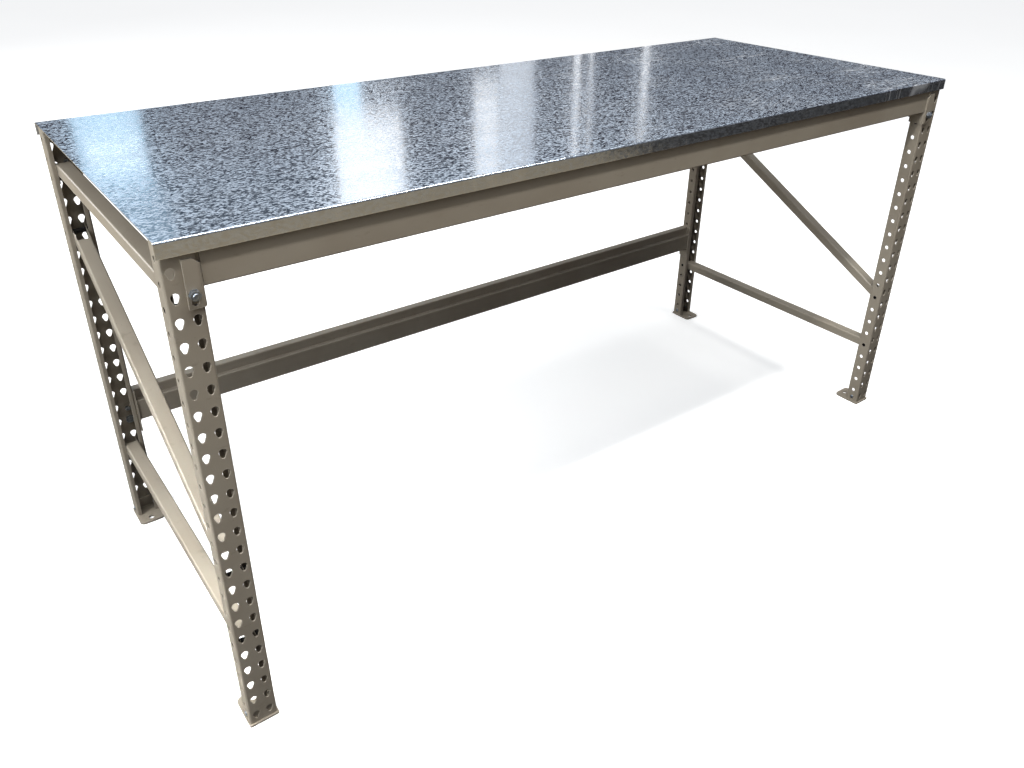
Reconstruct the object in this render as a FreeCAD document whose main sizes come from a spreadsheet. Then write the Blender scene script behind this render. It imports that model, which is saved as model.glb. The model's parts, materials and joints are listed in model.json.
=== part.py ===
import FreeCAD, Part
import math
import os
import re
import Sketcher
from FreeCAD import Placement, Rotation, Vector

# Workbench: a folded steel top on two step beams, carried by two braced end frames of punched uprights.
# Millimetres. The origin is on the floor under the middle of the top, +X runs along the top,
# -Y is the front, where a person works, and +Z is up.

doc = FreeCAD.newDocument("workbench")
sizes = doc.addObject("Spreadsheet::Sheet", "sizes")

# Driving sizes, each with what it measures
DRIVING_SIZES = [
    ("bay_length", 1600, "clear length between the left and the right uprights"),
    ("frame_depth", 660, "end frame over the webs of its two uprights"),
    ("hole_pitch", 33.333, "from one row of keyholes to the next, three to 100 mm"),
    ("first_row", 16, "lowest row of keyholes above the upright's lower end"),
    ("top_beam_row", 22, "row that locks the two top beams, which sets the bench height"),
    ("low_beam_row", 6, "row that locks the lower rear beam"),
    ("low_brace_row", 4, "row under the lower brace's pins"),
    ("diagonal_front_row", 8, "row under the diagonal's front pin"),
    ("diagonal_rear_row", 18, "row under the diagonal's rear pin"),
    ("upright_width", 45, "web of the upright"),
    ("upright_depth", 30, "flanges of the upright"),
    ("upright_lip", 9, "lips of the upright"),
    ("upright_steel", 2, "sheet of the upright"),
    ("bend_radius", 1.5, "inside of the bends in uprights, top and braces"),
    ("column_offset", 11, "each column of keyholes from the middle of the web"),
    ("keyhole_radius", 5.5, "round end of a keyhole"),
    ("keyhole_neck", 2.75, "radius of a keyhole's narrow end"),
    ("keyhole_rise", 2.35, "centre of the round end above its row"),
    ("keyhole_drop", 5.1, "centre of the narrow end below its row"),
    ("side_hole", 9, "diameter of the holes in the flanges"),
    ("beam_height", 67, "beam from its underside to its top"),
    ("beam_top_width", 20, "width of the beam's upper part"),
    ("beam_ledge", 9, "ledge that carries the deck board"),
    ("beam_steel", 1.5, "wall of the beam"),
    ("beam_corner", 2.5, "outside radius of the beam's edges"),
    ("beam_rise", 8.2, "underside of a beam above the row that locks it"),
    ("connector_steel", 3, "plate of the connector"),
    ("connector_leg", 8.5, "how far the connector covers the web past its column of keyholes"),
    ("connector_tail", 17, "connector below its locking row"),
    ("connector_head", 15, "front leg of the connector above its hook"),
    ("connector_bevel", 10, "slanted corner of the front leg"),
    ("connector_spread", 2, "side leg past the beam's width"),
    ("connector_bend_gap", 0.5, "how much tighter the connector's bend is than the upright's"),
    ("slot_drop", 8.5, "lower centre of the connector's slot below the row"),
    ("stud_gap", 0.25, "hook stud in the keyhole's neck, all round"),
    ("stud_play", 0.4, "head of the hook stud behind the web"),
    ("stud_head", 9.8, "diameter of the hook stud's head"),
    ("stud_head_height", 2.5, "thickness of the hook stud's head"),
    ("sheet_steel", 1.5, "sheet of the top"),
    ("sheet_lip", 21.5, "front and rear lips of the top, from its upper face"),
    ("sheet_overhang", 5, "top past the webs, front and rear"),
    ("sheet_end", 2.5, "top past the uprights at each end"),
    ("deck_thickness", 22, "deck board, and the step of the beams that it fills"),
    ("deck_gap", 0.5, "deck board to the rounded inside corner of each beam's step"),
    ("deck_end_gap", 4, "deck board to each connector"),
    ("brace_height", 20, "channel of the braces, upright"),
    ("brace_steel", 1.5, "sheet of the braces"),
    ("brace_side_gap", 0.75, "brace to each lip of the upright"),
    ("level_cut_back", 16, "upper wall of a level brace short of its ends"),
    ("diagonal_cut_back", 40, "upper wall of the diagonal short of its ends"),
    ("ear_margin", 9, "ears of the top brace past the middle of their pin"),
    ("level_end_gap", 4, "end of a level brace to the web, past the heads behind it"),
    ("diagonal_end_gap", 1, "corner of the diagonal to the web"),
    ("foot_plate", 4, "base plate of a foot"),
    ("foot_margin", 2, "base plate past each flange"),
    ("foot_front", 3, "base plate in front of the web"),
    ("foot_reach", 62, "base plate behind the web's face"),
    ("foot_corner", 10, "rounded corners of the base plate"),
    ("anchor_reach", 49, "anchor hole behind the web's face"),
    ("anchor_hole", 11, "diameter of the anchor hole"),
    ("socket_steel", 2.5, "wall of the foot's socket"),
    ("socket_height", 24, "socket above the base plate"),
    ("socket_gap", 0.3, "socket to the inside of the upright"),
    ("rivet_height", 12, "foot rivets above the base plate"),
    ("rivet_shank", 5, "diameter of the foot rivets"),
    ("rivet_gap", 0.1, "rivet in its hole, all round"),
    ("rivet_head", 9, "diameter of the rivet's head"),
    ("rivet_head_height", 1.8, "height of the rivet's head"),
    ("rivet_round", 1.5, "rounded rim of the rivet's head"),
    ("rivet_tail", 7, "diameter of the rivet's set end"),
    ("rivet_tail_height", 2.5, "height of the rivet's set end"),
    ("bolt_shank", 7.8, "shank of the locking bolts"),
    ("bolt_gap", 0.15, "shank in its nut, all round"),
    ("bolt_hole_gap", 0.6, "shank in the connector's slot, to each side"),
    ("bolt_tip", 2, "shank past its nut"),
    ("bolt_chamfer", 0.8, "bevelled end of the shank"),
    ("lock_head", 16, "diameter of the locking bolt's flat head"),
    ("lock_head_height", 3, "thickness of the locking bolt's head"),
    ("nut_width", 13, "nut across its flats"),
    ("nut_height", 6.5, "height of the nut"),
    ("nut_bevel", 1, "bevel of the nut's corners, across"),
    ("pin_gap", 0.1, "spring pin in the holes of flanges and braces, all round"),
    ("pin_wall", 1.6, "wall of the spring pin"),
    ("pin_slot", 1.5, "slot along the spring pin"),
    ("pin_inset", 0.3, "end of the spring pin below the outside of the flange"),
    ("pin_bevel", 0.6, "bevelled ends of the spring pin"),
]
for row, (name, value, note) in enumerate(DRIVING_SIZES, start=1):
    sizes.set(f"A{row}", name)
    sizes.set(f"B{row}", str(value))
    sizes.set(f"C{row}", note)
    sizes.setAlias(f"B{row}", name)
doc.recompute()

# Places that several pieces share, as formulas of the sizes
UPRIGHT_LENGTH = "(first_row + top_beam_row * hole_pitch + beam_rise + beam_height)"
BENCH_HEIGHT = f"(foot_plate + {UPRIGHT_LENGTH} + sheet_steel)"
UPRIGHT_MIDDLE = "((bay_length + upright_width) / 2)"
FLANGE_MIDDLE = "(upright_depth / 2)"
NEAR_COLUMN = "(upright_width / 2 - column_offset)"
BEAM_WIDTH = "(beam_top_width + beam_ledge)"
BRACE_RUN = "(frame_depth - upright_depth)"
BRACE_RISE = "((diagonal_rear_row - diagonal_front_row) * hole_pitch)"
BRACE_WIDTH = "(upright_width - 2 * upright_lip - 2 * brace_side_gap)"
TOP_BRACE_ROW = "(top_beam_row - 1)"
OUTER_BEND = "(upright_steel + bend_radius)"

CORNERS = {
    "front_left": (-1, -1),
    "front_right": (1, -1),
    "rear_left": (-1, 1),
    "rear_right": (1, 1),
}
BEAM_ENDS = [
    ("front_beam", -1, "top_beam_row"),
    ("rear_beam", 1, "top_beam_row"),
    ("lower_rear_beam", 1, "low_beam_row"),
]
# Pins of the braces: which upright and which row
BRACE_PINS = [
    (-1, TOP_BRACE_ROW),
    (1, TOP_BRACE_ROW),
    (-1, "diagonal_front_row"),
    (1, "diagonal_rear_row"),
    (-1, "low_brace_row"),
    (1, "low_brace_row"),
]
# Points nearer than this, in millimetres, count as one place
TOUCHING = 1e-4
SIZE_NAME = re.compile(r"\b(" + "|".join(name for name, value, note in DRIVING_SIZES) + r")\b")
nodes = []


def formula(text):
    """The text with the name of each size turned into its cell in the sheet."""
    return SIZE_NAME.sub(r"sizes.\1", text)


def number(text):
    """What a formula gives with the sizes as they are."""
    return float(sizes.evalExpression(formula(text)))


def bind(thing, setting, text):
    """Tie one setting of an object to a formula."""
    thing.setExpression(setting, formula(text))


def keyhole_row(row):
    """Height of a row of keyholes above the floor."""
    return f"(foot_plate + first_row + {row} * hole_pitch)"


def flange_row(row):
    """Height of the flange holes half a pitch above a row of keyholes."""
    return f"(foot_plate + first_row + ({row} + 0.5) * hole_pitch)"


# Sketches


def new_body(label):
    """An empty body for one piece."""
    body = doc.addObject("PartDesign::Body", label)
    body.Label = label
    return body


def new_sketch(body, name, plane, lift="0"):
    """A sketch on one of the body's own planes, lifted along the plane's normal."""
    sketch = body.newObject("Sketcher::SketchObject", name)
    sketch.AttachmentSupport = [(next(p for p in body.Origin.OriginFeatures if p.Role == plane), "")]
    sketch.MapMode = "FlatFace"
    bind(sketch, "AttachmentOffset.Base.z", lift)
    return sketch


def hold(sketch, kind, text, *places):
    """Add one measured constraint and tie it to a formula."""
    index = sketch.addConstraint(Sketcher.Constraint(kind, *places, number(text)))
    bind(sketch, f"Constraints[{index}]", text)


def hold_point(sketch, shape, point, x, y):
    """Hold a point of a drawn shape at a place measured from the sketch's origin."""
    hold(sketch, "DistanceX", x, -1, 1, shape, point)
    hold(sketch, "DistanceY", y, -1, 1, shape, point)


def draw_outline(sketch, corners):
    """Draw a closed outline of straight lines through corners given as formulas."""
    points = [Vector(number(x), number(y), 0) for x, y in corners]
    lines = [
        sketch.addGeometry(Part.LineSegment(start, end), False)
        for start, end in zip(points, points[1:] + points[:1])
    ]
    for line, following, (x, y) in zip(lines, lines[1:] + lines[:1], corners):
        sketch.addConstraint(Sketcher.Constraint("Coincident", line, 2, following, 1))
        hold_point(sketch, line, 1, x, y)


def draw_circle(sketch, x, y, diameter):
    """Draw a circle at a place given as formulas."""
    circle = Part.Circle(Vector(number(x), number(y), 0), Vector(0, 0, 1), number(diameter) / 2)
    index = sketch.addGeometry(circle, False)
    hold_point(sketch, index, 3, x, y)
    hold(sketch, "Diameter", diameter, index)


def draw_drop(sketch, x, top, top_radius, low, low_radius):
    """Draw two arcs, one above the other, joined by the two lines that touch both."""
    tilt = -math.asin((number(top_radius) - number(low_radius)) / (number(top) - number(low)))
    arcs = []
    for y, radius, start, end in (
        (top, top_radius, tilt, math.pi - tilt),
        (low, low_radius, math.pi - tilt, 2 * math.pi + tilt),
    ):
        circle = Part.Circle(Vector(number(x), number(y), 0), Vector(0, 0, 1), number(radius))
        arcs.append(sketch.addGeometry(Part.ArcOfCircle(circle, start, end), False))
        hold_point(sketch, arcs[-1], 3, x, y)
        hold(sketch, "Radius", radius, arcs[-1])
    upper, lower = arcs
    for upper_end, lower_end in ((1, 2), (2, 1)):
        line = Part.LineSegment(sketch.getPoint(upper, upper_end), sketch.getPoint(lower, lower_end))
        index = sketch.addGeometry(line, False)
        sketch.addConstraint(Sketcher.Constraint("Tangent", upper, upper_end, index, 1))
        sketch.addConstraint(Sketcher.Constraint("Tangent", lower, lower_end, index, 2))


# Features


def add_pad(body, sketch, length, both_ways=False):
    """Raise a sketch into a solid, along its normal or to both sides of its plane."""
    pad = body.newObject("PartDesign::Pad", f"{sketch.Name}_pad")
    pad.Profile = sketch
    pad.SideType = "Symmetric" if both_ways else "One side"
    bind(pad, "Length", length)


def cut_both_ways(body, sketch, length):
    """Cut a sketch out of the body, to both sides of its plane, over a length in all."""
    doc.recompute()
    before = body.Shape.Volume
    pocket = body.newObject("PartDesign::Pocket", f"{sketch.Name}_cut")
    pocket.Profile = sketch
    pocket.SideType = "Symmetric"
    bind(pocket, "Length", length)
    doc.recompute()
    if not body.Shape.Volume < before:
        raise RuntimeError(f"{sketch.Name} cut nothing from {body.Label}")
    return pocket


def repeat_upwards(body, feature, count):
    """Repeat a cut at the pitch of the holes."""
    rows = body.newObject("PartDesign::LinearPattern", f"{feature.Name}_rows")
    rows.Originals = [feature]
    rows.Direction = (next(a for a in body.Origin.OriginFeatures if a.Role == "Z_Axis"), [""])
    rows.Mode = "Spacing"
    bind(rows, "Offset", "hole_pitch")
    bind(rows, "Occurrences", count)
    body.Tip = rows


def runs_along(axis, places):
    """A test for straight edges that run along one axis through places on the other two axes."""
    others = [other for other in range(3) if other != axis]
    wanted = [tuple(number(text) for text in place) for place in places]

    def test(ends):
        return any(
            all(abs(end[other] - at) < TOUCHING for end in ends for other, at in zip(others, place))
            for place in wanted
        )

    return test


def round_edges(body, test, radius):
    """Round the edges of the body whose end points pass a test."""
    doc.recompute()
    base = body.Tip
    names = []
    for index, edge in enumerate(base.Shape.Edges, start=1):
        if test([vertex.Point for vertex in edge.Vertexes]):
            names.append(f"Edge{index}")
    rounding = body.newObject("PartDesign::Fillet", "rounding")
    rounding.Base = (base, names)
    bind(rounding, "Radius", radius)


def place_node(thing, x, y, z, turned=False):
    """Set a finished piece in the bench, turned half round about Z if it faces the rear."""
    thing.Placement = Placement(Vector(), Rotation(Vector(0, 0, 1), 180 if turned else 0))
    for axis, text in (("x", x), ("y", y), ("z", z)):
        bind(thing, f"Placement.Base.{axis}", text)
    nodes.append(thing)


# Top sheet and deck board


def make_sheet(label):
    """Sheet with a lip folded down along its front and its rear edge, ends open."""
    body = new_body(label)
    section = new_sketch(body, "sheet_section", "YZ_Plane")
    edge = "(frame_depth / 2 + sheet_overhang)"
    inner = f"({edge} - sheet_steel)"
    draw_outline(section, [
        (f"-{edge}", "-sheet_lip"),
        (f"-{edge}", "0"),
        (edge, "0"),
        (edge, "-sheet_lip"),
        (inner, "-sheet_lip"),
        (inner, "-sheet_steel"),
        (f"-{inner}", "-sheet_steel"),
        (f"-{inner}", "-sheet_lip"),
    ])
    add_pad(body, section, "bay_length + 2 * upright_width + 2 * sheet_end", both_ways=True)
    round_edges(body, runs_along(0, [(f"-{edge}", "0"), (edge, "0")]), "sheet_steel + bend_radius")
    round_edges(body, runs_along(0, [(f"-{inner}", "-sheet_steel"), (inner, "-sheet_steel")]), "bend_radius")
    place_node(body, "0", "0", BENCH_HEIGHT)


def make_deck(label):
    """Board that lies on the ledges of the two top beams, flush with their tops."""
    board = doc.addObject("Part::Box", label)
    board.Label = label
    length = "(bay_length - 2 * connector_steel - 2 * deck_end_gap)"
    width = "(frame_depth - 2 * (beam_top_width + beam_corner + deck_gap))"
    bind(board, "Length", length)
    bind(board, "Width", width)
    bind(board, "Height", "deck_thickness")
    place_node(board, f"-{length} / 2", f"-{width} / 2", f"{BENCH_HEIGHT} - sheet_steel - deck_thickness")


# Beams and the connectors on their ends


def make_beam(label, side, row):
    """Closed step section: a tall outer part, and a ledge on the inside for the deck board."""
    body = new_body(label)
    section = new_sketch(body, "beam_section", "YZ_Plane")
    ledge_height = "(beam_height - deck_thickness)"
    outside = [
        ("0", "0"),
        (BEAM_WIDTH, "0"),
        (BEAM_WIDTH, ledge_height),
        ("beam_top_width", ledge_height),
        ("beam_top_width", "beam_height"),
        ("0", "beam_height"),
    ]
    draw_outline(section, outside)
    draw_outline(section, [
        ("beam_steel", "beam_steel"),
        (f"{BEAM_WIDTH} - beam_steel", "beam_steel"),
        (f"{BEAM_WIDTH} - beam_steel", f"{ledge_height} - beam_steel"),
        ("beam_top_width - beam_steel", f"{ledge_height} - beam_steel"),
        ("beam_top_width - beam_steel", "beam_height - beam_steel"),
        ("beam_steel", "beam_height - beam_steel"),
    ])
    add_pad(body, section, "bay_length - 2 * connector_steel", both_ways=True)
    round_edges(body, runs_along(0, outside), "beam_corner")
    place_node(body, "0", f"{side} * frame_depth / 2", f"{keyhole_row(row)} + beam_rise", turned=side > 0)


def make_connector(label, end, side, row):
    """Angle on a beam's end: one leg against the flange, the other hooked over the web."""
    body = new_body(label)
    hand = end * side
    leg = f"({NEAR_COLUMN} + connector_leg)"
    section = new_sketch(body, "connector_section", "XY_Plane", "-connector_tail")
    corner = (f"{hand} * connector_steel", "-connector_steel")
    draw_outline(section, [
        (f"-({hand}) * {leg}", "-connector_steel"),
        corner,
        (f"{hand} * connector_steel", f"{BEAM_WIDTH} + connector_spread"),
        ("0", f"{BEAM_WIDTH} + connector_spread"),
        ("0", "0"),
        (f"-({hand}) * {leg}", "0"),
    ])
    top = "(beam_rise + beam_height)"
    add_pad(body, section, f"connector_tail + {top}")
    inner_bend = f"({OUTER_BEND} - connector_bend_gap)"
    round_edges(body, runs_along(2, [corner]), f"{inner_bend} + connector_steel")
    round_edges(body, runs_along(2, [("0", "0")]), inner_bend)
    shoulder = "(hole_pitch + connector_head)"
    notch = new_sketch(body, "connector_notch", "XZ_Plane")
    draw_outline(notch, [
        (f"-({hand}) * ({leg} + connector_steel)", shoulder),
        (f"{hand} * (connector_steel - connector_bevel)", shoulder),
        (f"{hand} * 2 * connector_steel", f"{shoulder} - connector_bevel - connector_steel"),
        (f"{hand} * 2 * connector_steel", f"{top} + connector_steel"),
        (f"-({hand}) * ({leg} + connector_steel)", f"{top} + connector_steel"),
    ])
    cut_both_ways(body, notch, "2 * connector_steel")
    slot = new_sketch(body, "connector_slot", "XZ_Plane")
    slot_radius = "bolt_shank / 2 + bolt_hole_gap"
    draw_drop(slot, f"-({hand}) * {NEAR_COLUMN}", "keyhole_rise", slot_radius, "-slot_drop", slot_radius)
    cut_both_ways(body, slot, "4 * connector_steel")
    flange = f"{end} * bay_length / 2"
    place_node(body, flange, f"{side} * frame_depth / 2", keyhole_row(row), turned=side > 0)


# Uprights and feet


def make_upright(label, end, side):
    """Lipped channel with its web outwards, keyholes in the web and round holes in the flanges."""
    body = new_body(label)
    section = new_sketch(body, "upright_section", "XY_Plane")
    half = "(upright_width / 2)"
    half_inside = f"({half} - upright_steel)"
    half_opening = f"({half} - upright_lip)"
    inside = "(upright_depth - upright_steel)"
    right_half = [
        (half, "0"),
        (half, "upright_depth"),
        (half_opening, "upright_depth"),
        (half_opening, inside),
        (half_inside, inside),
        (half_inside, "upright_steel"),
    ]
    left_half = [(f"-{x}", y) for x, y in reversed(right_half)]
    draw_outline(section, right_half + left_half)
    add_pad(body, section, UPRIGHT_LENGTH)
    round_edges(body, runs_along(2, right_half[:2] + left_half[-2:]), OUTER_BEND)
    round_edges(body, runs_along(2, right_half[-2:] + left_half[:2]), "bend_radius")

    keyholes = new_sketch(body, "keyholes", "XZ_Plane")
    for column in (-1, 1):
        draw_drop(
            keyholes,
            f"{column} * column_offset",
            "first_row + keyhole_rise",
            "keyhole_radius",
            "first_row - keyhole_drop",
            "keyhole_neck",
        )
    repeat_upwards(body, cut_both_ways(body, keyholes, "upright_depth"), "top_beam_row + 2")
    holes = new_sketch(body, "side_holes", "YZ_Plane")
    draw_circle(holes, FLANGE_MIDDLE, "first_row + hole_pitch / 2", "side_hole")
    repeat_upwards(body, cut_both_ways(body, holes, "2 * upright_width"), "top_beam_row + 2")
    rivets = new_sketch(body, "rivet_holes", "YZ_Plane")
    draw_circle(rivets, FLANGE_MIDDLE, "rivet_height", "rivet_shank + 2 * rivet_gap")
    cut_both_ways(body, rivets, "2 * upright_width")
    place_node(body, f"{end} * {UPRIGHT_MIDDLE}", f"{side} * frame_depth / 2", "foot_plate", turned=side > 0)


def make_foot(label, end, side):
    """Base plate with an anchor hole, and a low socket that the upright stands over."""
    body = new_body(label)
    plate = new_sketch(body, "plate", "XY_Plane")
    half = "(upright_width / 2 + foot_margin)"
    plate_corners = [
        (f"-{half}", "-foot_front"),
        (half, "-foot_front"),
        (half, "foot_reach"),
        (f"-{half}", "foot_reach"),
    ]
    draw_outline(plate, plate_corners)
    add_pad(body, plate, "foot_plate")
    round_edges(body, runs_along(2, plate_corners[2:]), "foot_corner")
    round_edges(body, runs_along(2, plate_corners[:2]), "foot_front")
    anchor = new_sketch(body, "anchor", "XY_Plane")
    draw_circle(anchor, "0", "anchor_reach", "anchor_hole")
    cut_both_ways(body, anchor, "4 * foot_plate")

    socket = new_sketch(body, "socket", "XY_Plane", "foot_plate")
    outside = "(upright_width / 2 - upright_steel - socket_gap)"
    inside = f"({outside} - socket_steel)"
    front = "(upright_steel + socket_gap)"
    rear = "(upright_depth - upright_steel - socket_gap - bend_radius)"
    draw_outline(socket, [
        (f"-{outside}", front),
        (outside, front),
        (outside, rear),
        (inside, rear),
        (inside, f"{front} + socket_steel"),
        (f"-{inside}", f"{front} + socket_steel"),
        (f"-{inside}", rear),
        (f"-{outside}", rear),
    ])
    add_pad(body, socket, "socket_height")
    round_edges(body, runs_along(2, [(f"-{outside}", front), (outside, front)]), "bend_radius + socket_gap")
    rivets = new_sketch(body, "socket_holes", "YZ_Plane")
    draw_circle(rivets, FLANGE_MIDDLE, "foot_plate + rivet_height", "rivet_shank + 2 * rivet_gap")
    cut_both_ways(body, rivets, "2 * upright_width")
    place_node(body, f"{end} * {UPRIGHT_MIDDLE}", f"{side} * frame_depth / 2", "0", turned=side > 0)


# Braces


def make_brace(label, end, pin_height, rise, end_gap, cut_back, lift=None):
    """Channel, open downwards, that goes between the lips of the uprights and is pinned to their flanges.

    Its upper wall is cut back at both ends. The pins go through the middle of its side walls, or through ears
    below them when the channel is lifted.
    """
    body = new_body(label)
    span = f"sqrt(({BRACE_RUN}) ^ 2 + ({rise}) ^ 2)"
    lean = f"(({rise}) / {span})"
    level = f"({BRACE_RUN} / {span})"
    past_pin = f"(({FLANGE_MIDDLE} - upright_steel - {end_gap} - brace_height / 2 * {lean}) / {level})"
    half = f"({BRACE_WIDTH} / 2)"
    inner = f"({half} - brace_steel)"
    top = f"({lift or 0} + brace_height / 2)"
    bottom = f"({lift or 0} - brace_height / 2)"
    right_half = [
        (half, top),
        (half, bottom),
        (inner, bottom),
        (inner, f"{top} - brace_steel"),
    ]
    left_half = [(f"-{x}", z) for x, z in reversed(right_half)]
    channel = new_sketch(body, "channel", "XZ_Plane")
    draw_outline(channel, right_half + left_half)
    add_pad(body, channel, f"{span} + 2 * {past_pin}", both_ways=True)
    round_edges(body, runs_along(1, [right_half[0], left_half[-1]]), "brace_steel + bend_radius")
    round_edges(body, runs_along(1, [right_half[-1], left_half[0]]), "bend_radius")
    gaps = new_sketch(body, "cut_back", "YZ_Plane")
    for way in (-1, 1):
        draw_outline(gaps, [
            (f"{way} * ({span} / 2 + {past_pin})", top),
            (f"{way} * ({span} / 2 + {past_pin})", f"{top} - brace_steel - bend_radius"),
            (f"{way} * ({span} / 2 + {past_pin} - {cut_back})", f"{top} - brace_steel - bend_radius"),
            (f"{way} * ({span} / 2 + {past_pin} - {cut_back})", top),
        ])
    cut_both_ways(body, gaps, f"{BRACE_WIDTH} - 2 * brace_steel")
    if lift:
        add_ears(body, bottom, span, past_pin)
    holes = new_sketch(body, "brace_holes", "YZ_Plane")
    for way in (-1, 1):
        draw_circle(holes, f"{way} * {span} / 2", "0", "side_hole")
    cut_both_ways(body, holes, f"2 * {BRACE_WIDTH}")
    place_node(body, f"{end} * {UPRIGHT_MIDDLE}", "0", pin_height)
    body.Placement = Placement(body.Placement.Base, Rotation(Vector(1, 0, 0), 0))
    bind(body, "Placement.Rotation.Angle", f"atan2({rise}; {BRACE_RUN})")


def add_ears(body, bottom, span, past_pin):
    """Deepen both walls of a channel at its ends, from its lower edge to below the pins."""
    blocks = new_sketch(body, "ears", "YZ_Plane")
    draw_ears(blocks, bottom, span, past_pin)
    add_pad(body, blocks, BRACE_WIDTH, both_ways=True)
    between = new_sketch(body, "between_ears", "YZ_Plane")
    draw_ears(between, bottom, span, past_pin)
    cut_both_ways(body, between, f"{BRACE_WIDTH} - 2 * brace_steel")


def draw_ears(sketch, bottom, span, past_pin):
    """Outlines of the ears at both ends of a brace, seen from the side."""
    for way in (-1, 1):
        draw_outline(sketch, [
            (f"{way} * ({span} / 2 + {past_pin})", bottom),
            (f"{way} * ({span} / 2 + {past_pin})", "-ear_margin"),
            (f"{way} * ({span} / 2 - ear_margin)", "-ear_margin"),
            (f"{way} * ({span} / 2 - ear_margin)", bottom),
        ])


# Fasteners, each modelled once along its own axis and then set in all its places


def spin(body, sketch, feature="PartDesign::Revolution"):
    """Turn a sketch on the XZ plane once about the body's Z axis."""
    turned = body.newObject(feature, f"{sketch.Name}_turn")
    turned.Profile = sketch
    turned.ReferenceAxis = (sketch, ["V_Axis"])
    turned.Angle = 360


def make_turned(label, outline):
    """A turned piece, from half of its section."""
    body = new_body(label)
    section = new_sketch(body, f"{label}_section", "XZ_Plane")
    draw_outline(section, outline)
    spin(body, section)
    return body


def on_rim(diameter, height):
    """A test for the round edge of a turned piece at a diameter and a height."""
    radius = number(diameter) / 2
    level = number(height)

    def test(ends):
        return all(abs(math.hypot(end.x, end.y) - radius) + abs(end.z - level) < TOUCHING for end in ends)

    return test


def draw_hexagon(sketch, width):
    """Draw a hexagon round the sketch's origin, given its width across the flats."""
    corners = [(f"{width} / sqrt(3) * cos({60 * k})", f"{width} / sqrt(3) * sin({60 * k})") for k in range(6)]
    draw_outline(sketch, corners)


def shank_end(length):
    """The last corners of a shank with a bevelled end, for half of its section."""
    return [
        ("bolt_shank / 2", f"{length} - bolt_chamfer"),
        ("bolt_shank / 2 - bolt_chamfer", length),
        ("0", length),
    ]


def make_lock_bolt():
    """Bolt with a flat round head that bears on the inside of the web."""
    length = "(upright_steel + connector_steel + nut_height + bolt_tip)"
    return make_turned("lock_bolt", [
        ("0", "-lock_head_height"),
        ("lock_head / 2", "-lock_head_height"),
        ("lock_head / 2", "0"),
        ("bolt_shank / 2", "0"),
    ] + shank_end(length))


def make_hook_stud():
    """Headed stud on the back of a connector's front leg."""
    radius = "(keyhole_neck - stud_gap)"
    shank = "(upright_steel + stud_play)"
    return make_turned("hook_stud", [
        ("0", "0"),
        (radius, "0"),
        (radius, shank),
        ("stud_head / 2", shank),
        ("stud_head / 2", f"{shank} + stud_head_height"),
        ("0", f"{shank} + stud_head_height"),
    ])


def make_spring_pin():
    """Slotted tube with bevelled ends, pressed through both flanges and the brace between them."""
    outside = "(side_hole / 2 - pin_gap)"
    inside = f"({outside} - pin_wall)"
    length = "(upright_width - 2 * pin_inset)"
    body = make_turned("spring_pin", [
        (inside, "0"),
        (f"{outside} - pin_bevel", "0"),
        (outside, "pin_bevel"),
        (outside, f"{length} - pin_bevel"),
        (f"{outside} - pin_bevel", length),
        (inside, length),
    ])
    slot = new_sketch(body, "pin_slot_outline", "XY_Plane")
    draw_outline(slot, [
        ("0", "-pin_slot / 2"),
        ("side_hole", "-pin_slot / 2"),
        ("side_hole", "pin_slot / 2"),
        ("0", "pin_slot / 2"),
    ])
    cut_both_ways(body, slot, "4 * upright_width")
    return body


def make_nut():
    """Hexagon nut with bevelled corners."""
    body = new_body("nut")
    hexagon = new_sketch(body, "nut_outline", "XY_Plane")
    draw_hexagon(hexagon, "nut_width")
    add_pad(body, hexagon, "nut_height")
    bore = new_sketch(body, "nut_bore", "XY_Plane")
    draw_circle(bore, "0", "0", "bolt_shank + 2 * bolt_gap")
    cut_both_ways(body, bore, "4 * nut_height")
    corner = "(nut_width / sqrt(3))"
    bevel = new_sketch(body, "nut_bevel_section", "XZ_Plane")
    draw_outline(bevel, [
        (f"{corner} - nut_bevel", "nut_height"),
        (corner, "nut_height - nut_bevel / sqrt(3)"),
        (f"{corner} + nut_bevel", "nut_height + nut_bevel"),
        (f"{corner} - nut_bevel", "nut_height + nut_bevel"),
    ])
    spin(body, bevel, "PartDesign::Groove")
    return body


def make_rivet():
    """Set rivet through a flange and the wall of the foot's socket."""
    grip = "(upright_steel + socket_gap + socket_steel)"
    body = make_turned("rivet", [
        ("0", "-rivet_head_height"),
        ("rivet_head / 2", "-rivet_head_height"),
        ("rivet_head / 2", "0"),
        ("rivet_shank / 2", "0"),
        ("rivet_shank / 2", grip),
        ("rivet_tail / 2", grip),
        ("rivet_tail / 2", f"{grip} + rivet_tail_height"),
        ("0", f"{grip} + rivet_tail_height"),
    ])
    round_edges(body, on_rim("rivet_head", "-rivet_head_height"), "rivet_round")
    return body


def set_copies(label, piece, places):
    """One node of several equal pieces, each with its axis pointing the given way."""
    copies = []
    for way, x, y, z in places:
        copy = doc.addObject("App::Link", f"{label}_copy")
        copy.LinkedObject = piece
        copy.Placement = Placement(Vector(), Rotation(Vector(0, 0, 1), Vector(*way)))
        for axis, text in (("x", x), ("y", y), ("z", z)):
            bind(copy, f"Placement.Base.{axis}", text)
        copies.append(copy)
    group = doc.addObject("Part::Compound", label)
    group.Label = label
    group.Links = copies
    nodes.append(group)


def connector_places(inwards, outside_web, row_shift, row_rise):
    """Where one fastener sits in each connector: its direction, and its place."""
    places = []
    for name, side, row in BEAM_ENDS:
        for end in (-1, 1):
            way = (0, -side if inwards else side, 0)
            x = f"{end} * (bay_length / 2 + {NEAR_COLUMN})"
            y = f"{side} * (frame_depth / 2 + {outside_web})"
            places.append((way, x, y, f"{keyhole_row(f'({row} + {row_shift})')} + {row_rise}"))
    return places


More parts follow.
